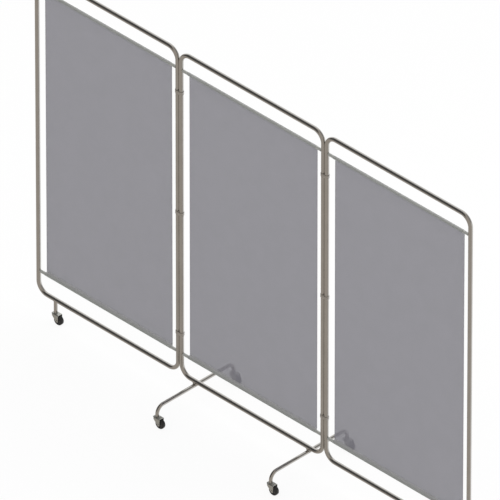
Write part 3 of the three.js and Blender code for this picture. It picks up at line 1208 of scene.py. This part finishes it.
@dataclass(frozen=True)
class Caster:
    """A small swivel caster: bush, stem, pressed fork, axle rivet, hub and tyre."""

    side: Side
    spot: CasterSpot
    sides: int = 48
    bush_flange: float = 8 * MM
    bush_plug: float = 6.5 * MM
    bush_step: float = 1.2 * MM
    bush_round: float = 0.3 * MM
    stud_radius: float = 4 * MM
    shoulder_radius: float = 8.5 * MM
    shoulder_height: float = 2 * MM
    neck_radius: float = 3 * MM
    rivet_radius: float = 5 * MM
    rivet_height: float = 1.4 * MM
    stem_round: float = 0.6 * MM
    trail: float = 17.5 * MM
    fork_top: float = 50 * MM
    fork_width: float = 26 * MM
    fork_sheet: float = 2 * MM
    crease: float = 4 * MM
    crease_steps: int = 8
    nose: float = 13 * MM
    nose_round: float = 5 * MM
    nose_steps: int = 6
    lip: float = 6 * MM
    lobe: float = 7 * MM
    lobe_steps: int = 14
    lobe_spare: float = 1 * MM  # trimmed off below the lobe
    sheet_round: float = 0.5 * MM
    sheet_edge: float = math.radians(60)  # a sharper edge of the sheet is rounded
    axle_radius: float = 2.5 * MM
    head_radius: float = 4.5 * MM
    head_height: float = 1.3 * MM
    head_rim: float = 0.35 * MM
    head_flat_share: float = 0.6
    axle_round: float = 0.25 * MM
    bore_radius: float = 2.9 * MM
    boss_radius: float = 6 * MM
    boss_taper: float = 0.8 * MM
    boss_gap: float = 0.4 * MM  # from the boss to the fork
    web_half: float = 5.6 * MM
    rim_wall: float = 1.8 * MM
    hub_radius: float = 13.5 * MM
    hub_half: float = 8 * MM
    hub_round: float = 0.4 * MM
    wheel_radius: float = 22.5 * MM
    tyre_width: float = 18 * MM
    tyre_foot: float = 1 * MM
    tyre_sides: int = 64
    tyre_round: float = 0.6 * MM
    # from wall to tread, how far each corner lies under the tread and in from the wall
    tyre_curve: tuple[Point, ...] = (
        (5.5 * MM, 0), (3 * MM, 0.3 * MM), (1 * MM, 2.4 * MM), (0.2 * MM, 5 * MM),
    )
    parting_depth: float = 0.1 * MM
    parting_half: float = 0.25 * MM

    @property
    def word(self) -> str:
        """The caster's name."""
        return f"{self.side.word}_{self.spot.value}"

    @property
    def stem_foot(self) -> Vector:
        """The point on the floor under the stem."""
        place = middle_of(f"{self.word}_stem")
        return Vector((place.x, place.y, 0))

    @property
    def axle_centre(self) -> Vector:
        """The middle of the axle."""
        return self.stem_foot + Vector((self.trail, 0, self.wheel_radius))

    def build(self) -> None:
        """Builds the caster's six pieces."""
        carrier = f"{self.side.word}_wing" if self.spot is CasterSpot.WING else "middle"
        swivel, wheel = f"{self.word}_swivel", f"{self.word}_wheel"
        for made, name, finish, body, node in (
            (self.bush(), "threaded_bush", PressedZinc(), carrier, "bush"),
            (self.stem(), "stem_pin", PressedZinc(), carrier, "stem"),
            (self.fork(), "pressed_fork", PressedZinc(), swivel, "fork"),
            (self.axle(), "axle_rivet", PressedZinc(), swivel, "axle"),
            (self.hub(), "wheel_hub", MouldedNylon(), wheel, "hub"),
            (self.tyre(), "rolling_tyre", TyreRubber(), wheel, "tyre"),
        ):
            put(made, f"{self.word}_{name}", finish, body, f"{self.word}_{node}")

    def upright(self, outline: Sequence[Point], low: float, rounding: float) -> BMesh:
        """Turns a piece on the stem's axis, with heights from a low point up."""
        return turned(outline, self.stem_foot + Z_AXIS * low, Z_AXIS, self.sides, rounding)

    def bush(self) -> BMesh:
        """Turns the bush, a flange under the tube's end and a plug up inside it.

        Returns:
            The bush.
        """
        low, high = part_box(f"{self.word}_bush")
        bore, flange, plug = self.stud_radius + SEAT, self.bush_flange, self.bush_plug
        step, top = self.bush_step, high.z - low.z
        outline = [(bore, 0), (flange, 0), (flange, step), (plug, step), (plug, top), (bore, top), (bore, 0)]
        return self.upright(outline, low.z, self.bush_round)

    def stem(self) -> BMesh:
        """Turns the stem: rivet, neck, shoulder and stud.

        Returns:
            The stem.
        """
        low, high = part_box(f"{self.word}_stem")
        under = self.rivet_height
        shoulder = self.fork_top + SEAT - low.z
        crown = shoulder + self.shoulder_height
        top = high.z - low.z
        outline = [
            (0, 0), (self.rivet_radius, 0), (self.rivet_radius, under), (self.neck_radius, under),
            (self.neck_radius, shoulder), (self.shoulder_radius, shoulder), (self.shoulder_radius, crown),
            (self.stud_radius, crown), (self.stud_radius, top), (0, top),
        ]
        return self.upright(outline, low.z, self.stem_round)

    def fork(self) -> BMesh:
        """Folds the fork from one sheet: a flat top with two cheeks, trimmed to the nose and lobes.

        Returns:
            The fork.
        """
        bm = bmesh.new()
        front, rear = -self.nose, self.trail + self.lobe
        bottom = self.wheel_radius - self.lobe - self.lobe_spare
        size = (rear - front, self.fork_width, self.fork_top - bottom)
        box(bm, Vector(((rear + front) / 2, 0, (self.fork_top + bottom) / 2)), size)
        open_sides = [face for face in bm.faces if face.normal.z < -0.5 or abs(face.normal.x) > 0.5]
        bmesh.ops.delete(bm, geom=open_sides, context="FACES")
        creases = [edge for edge in bm.edges if len(edge.link_faces) == 2]
        soften(bm, creases, self.crease, self.crease_steps)
        self.trim_profile(bm)
        self.trim_plan(bm)
        loose = [vert for vert in bm.verts if not vert.link_faces]
        bmesh.ops.delete(bm, geom=loose, context="VERTS")
        face_out(bm)
        top = max(bm.faces, key=lambda face: face.calc_center_median().z)
        thicken(bm, top, Z_AXIS, self.fork_sheet)
        soften(bm, sharp_edges(bm, self.sheet_edge), self.sheet_round, steps=2)
        bmesh.ops.translate(bm, verts=bm.verts[:], vec=self.stem_foot)
        return bm

    @staticmethod
    def trim(bm: BMesh, centre: Vector, radius: float, outward: Vector) -> None:
        """Cuts away everything that lies farther than a radius from a centre in a direction."""
        everything = bm.verts[:] + bm.edges[:] + bm.faces[:]
        bmesh.ops.bisect_plane(
            bm, geom=everything, plane_co=centre + outward * radius, plane_no=outward, clear_outer=True
        )

    def trim_profile(self, bm: BMesh) -> None:
        """Cuts the fork's side view: a slanting front edge and a round lobe about the axle.

        Args:
            bm: The folded sheet.
        """
        axle = Vector((self.trail, 0, self.wheel_radius))
        to_nose = Vector((-self.nose, 0, self.fork_top - self.lip)) - axle
        slant = math.atan2(to_nose.z, to_nose.x) + math.acos(self.lobe / to_nose.length)
        for x, z in arc(1, slant, FULL_TURN, self.lobe_steps):
            self.trim(bm, axle, self.lobe, Vector((x, 0, z)))

    def trim_plan(self, bm: BMesh) -> None:
        """Rounds the top plate's two front corners.

        Args:
            bm: The folded sheet.
        """
        corner = self.fork_width / 2 - self.nose_round
        for sign in (-1, 1):
            centre = Vector((self.nose_round - self.nose, sign * corner, 0))
            for x, y in arc(1, 0, QUARTER_TURN, self.nose_steps)[:-1]:
                self.trim(bm, centre, self.nose_round, Vector((-x, sign * y, 0)))

    def axle(self) -> BMesh:
        """Turns the axle with a domed head at each end.

        Returns:
            The axle.
        """
        cheek = self.fork_width / 2 + SEAT
        end = cheek + self.head_height
        half = [
            (0, end), (self.head_radius * self.head_flat_share, end),
            (self.head_radius, cheek + self.head_rim), (self.head_radius, cheek), (self.axle_radius, cheek),
        ]
        return turned(mirrored(half), self.axle_centre, Y_AXIS, self.sides, self.axle_round)

    def hub(self) -> BMesh:
        """Turns the hub: a boss, a recessed web and a rim under the tyre.

        Returns:
            The hub.
        """
        boss_half = self.fork_width / 2 - self.fork_sheet - self.boss_gap
        rim_inner = self.hub_radius - self.rim_wall
        half = [
            (self.bore_radius, boss_half), (self.boss_radius, boss_half),
            (self.boss_radius + self.boss_taper, self.web_half), (rim_inner, self.web_half),
            (rim_inner, self.hub_half), (self.hub_radius, self.hub_half),
        ]
        return turned([*mirrored(half), half[0]], self.axle_centre, Y_AXIS, self.sides, self.hub_round)

    def tyre(self) -> BMesh:
        """Turns the tyre: straight walls, round shoulders, a crowned tread and its parting line.

        Returns:
            The tyre.
        """
        inner, wall = self.hub_radius + SEAT, self.tyre_width / 2
        half = [
            (inner, self.hub_half), (inner + self.tyre_foot, self.hub_half),
            *((self.wheel_radius - depth, wall - inset) for depth, inset in self.tyre_curve),
            (self.wheel_radius - self.parting_depth, self.parting_half),
        ]
        outline = [*half, (self.wheel_radius, 0), *mirrored(half)[len(half):], half[0]]
        return turned(outline, self.axle_centre, Y_AXIS, self.tyre_sides, self.tyre_round)


# Camera, floor and light


@dataclass(frozen=True)
class Viewpoint:
    """The photograph's view: a long way off, so that parallel lines stay parallel."""

    azimuth: float = math.radians(45)
    elevation: float = math.atan(1 / math.sqrt(2))
    aim: tuple[float, float, float] = (-0.012, 0, 0.908)
    field: float = 1.9825  # width of what the picture shows
    lens: float = 1700.0
    sensor: float = 36.0
    near_share: float = 0.01  # of the distance, where the camera starts to see
    far_share: float = 3.0  # and where it stops

    def build(self) -> None:
        """Sets up the camera."""
        back = Vector((
            math.sin(self.azimuth) * math.cos(self.elevation),
            -math.cos(self.azimuth) * math.cos(self.elevation),
            math.sin(self.elevation),
        ))
        distance = self.field * self.lens / self.sensor
        camera = bpy.data.cameras.new("camera")
        camera.lens, camera.sensor_width = self.lens, self.sensor
        camera.clip_start, camera.clip_end = distance * self.near_share, distance * self.far_share
        stand = bpy.data.objects.new("camera", camera)
        stand.location = Vector(self.aim) + back * distance
        stand.rotation_euler = (-back).to_track_quat("-Z", "Y").to_euler()
        bpy.context.scene.collection.objects.link(stand)
        bpy.context.scene.camera = stand
        bpy.context.scene.view_settings.view_transform = "Standard"


@dataclass(frozen=True)
class WhiteSweep(Finish):
    """A white floor that the camera sees as bare white, with only a breath of shade."""

    name: str = "white_sweep"
    slot: Slot | None = None
    seen_white: float = 0.9
    seen_shade: float = 0.1
    lit_white: float = 0.83

    def dress(self, shader: Shader) -> None:
        """Lays near-white for the camera and plain paper for every other ray.

        Args:
            shader: The material's nodes.
        """
        paper = shader.add("BsdfDiffuse", {"Color": (self.lit_white,) * 3})
        shade = shader.add("BsdfDiffuse", {"Color": (self.seen_shade,) * 3})
        glow = shader.add("Emission", {"Strength": self.seen_white})
        seen = shader.add("AddShader", {0: shade.outputs[0], 1: glow.outputs[0]})
        choice = shader.choice(shader.add("LightPath").outputs["Is Camera Ray"], paper, seen)
        shader.tree.nodes.remove(shader.surface)
        shader.tree.links.new(choice.outputs[0], shader.tree.nodes["Material Output"].inputs["Surface"])


@dataclass(frozen=True)
class Panel:
    """A round, soft-edged grey patch of the room, as mirrored in metal."""

    toward: tuple[float, float, float]
    full: float  # degrees from its middle within which it has its level
    faded: float  # degrees past which nothing of it is left
    level: float

    def paint(self, room: Nodes, direction: NodeSocket, under: NodeSocket) -> NodeSocket:
        """Paints the panel over what is there.

        Args:
            room: The world's nodes.
            direction: The direction looked in.
            under: The colour that the panel covers.

        Returns:
            The colour with the panel.
        """
        inputs = {0: direction, 1: Vector(self.toward).normalized()}
        near = room.add("VectorMath", inputs, operation="DOT_PRODUCT").outputs["Value"]
        reach = tuple(math.cos(math.radians(angle)) for angle in (self.faded, self.full))
        return room.blend(room.spread(near, (0, 1), reach), under, (self.level,) * 3)


@dataclass(frozen=True)
class Studio:
    """A white sweep, a soft lamp overhead and the room that the bright metal mirrors."""

    floor_size: float = 60.0
    lamp_direction: tuple[float, float, float] = (0.2, 0.23, 0.97)
    lamp_distance: float = 4.0
    lamp_size: float = 4.1
    lamp_power: float = 38.0
    fill: float = 0.862
    room_colour: Colour = (0.515, 0.478, 0.438)
    panels: tuple[Panel, ...] = (
        Panel(toward=(0, 1, -0.1), full=58, faded=85, level=1.0),
        Panel(toward=(1, 1, 1), full=20, faded=45, level=0.28),
        Panel(toward=(-1, 0.6, 1), full=20, faded=45, level=1.0),
        Panel(toward=(-1, -1, 1), full=34, faded=54, level=0.085),
    )

    def build(self) -> None:
        """Builds the floor, the lamp and the room."""
        self.build_floor()
        self.build_lamp()
        self.build_room()

    def build_floor(self) -> Object:
        """Lays the floor.

        Returns:
            The floor's object.
        """
        bm = bmesh.new()
        bmesh.ops.create_grid(bm, x_segments=1, y_segments=1, size=self.floor_size / 2)
        floor = show(bm, "floor", WhiteSweep())
        floor.visible_glossy = False
        return floor

    def build_lamp(self) -> None:
        """Hangs the soft lamp."""
        lamp = bpy.data.lights.new("overhead", "AREA")
        lamp.shape, lamp.size, lamp.energy = "DISK", self.lamp_size, self.lamp_power
        toward = Vector(self.lamp_direction).normalized()
        stand = bpy.data.objects.new("overhead", lamp)
        stand.visible_glossy = False
        stand.location = toward * self.lamp_distance
        stand.rotation_euler = (-toward).to_track_quat("-Z", "Y").to_euler()
        bpy.context.scene.collection.objects.link(stand)

    def build_room(self) -> None:
        """Sets the room's light: white to the camera, even on cloth, and patterned in the metal."""
        world = bpy.data.worlds.new("room")
        world.use_nodes = True
        bpy.context.scene.world = world
        room = Nodes(world.node_tree)
        room.tree.nodes.clear()
        white = (1, 1, 1)
        even = room.add("Background", {"Color": white, "Strength": self.fill})
        bare = room.add("Background", {"Color": white, "Strength": 1})
        mirror = room.add("Background", {"Color": self.mirrored_room(room), "Strength": 1})
        rays = room.add("LightPath").outputs
        metal = room.choice(rays["Is Glossy Ray"], even, mirror)
        seen = room.choice(rays["Is Camera Ray"], metal, bare)
        room.add("OutputWorld", {"Surface": seen.outputs[0]})

    def mirrored_room(self, room: Nodes) -> NodeSocket:
        """Paints the panels, one over another, on a room of plain colour.

        Args:
            room: The world's nodes.

        Returns:
            The colour that metal mirrors in each direction.
        """
        colour = room.add("RGB").outputs[0]
        colour.default_value = (*self.room_colour, 1)
        direction = room.coordinates("Generated")
        for panel in self.panels:
            colour = panel.paint(room, direction, colour)
        return colour


# The whole screen


@dataclass(frozen=True)
class WardScreen:
    """The three-panel screen."""

    panels: tuple[tuple[str, str], ...] = (
        ("middle", "middle"), ("left", "left_wing"), ("right", "right_wing"),
    )

    def build(self) -> None:
        """Builds every piece of the screen."""
        for word, body in self.panels:
            TubeFrame(word, body).build()
            Curtain(word, body).build()
        for side in Side:
            FootBar(side).build()
            WingLeg(side).build()
            for level in BandLevel:
                HingeBand(side, level).build()
            for spot in CasterSpot:
                Caster(side, spot).build()


def main() -> None:
    """Builds the screen and its setting."""
    logging.basicConfig(level=logging.INFO, format="%(name)s: %(message)s")
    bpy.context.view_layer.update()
    WardScreen().build()
    Viewpoint().build()
    Studio().build()


if __name__ == "__main__":
    main()
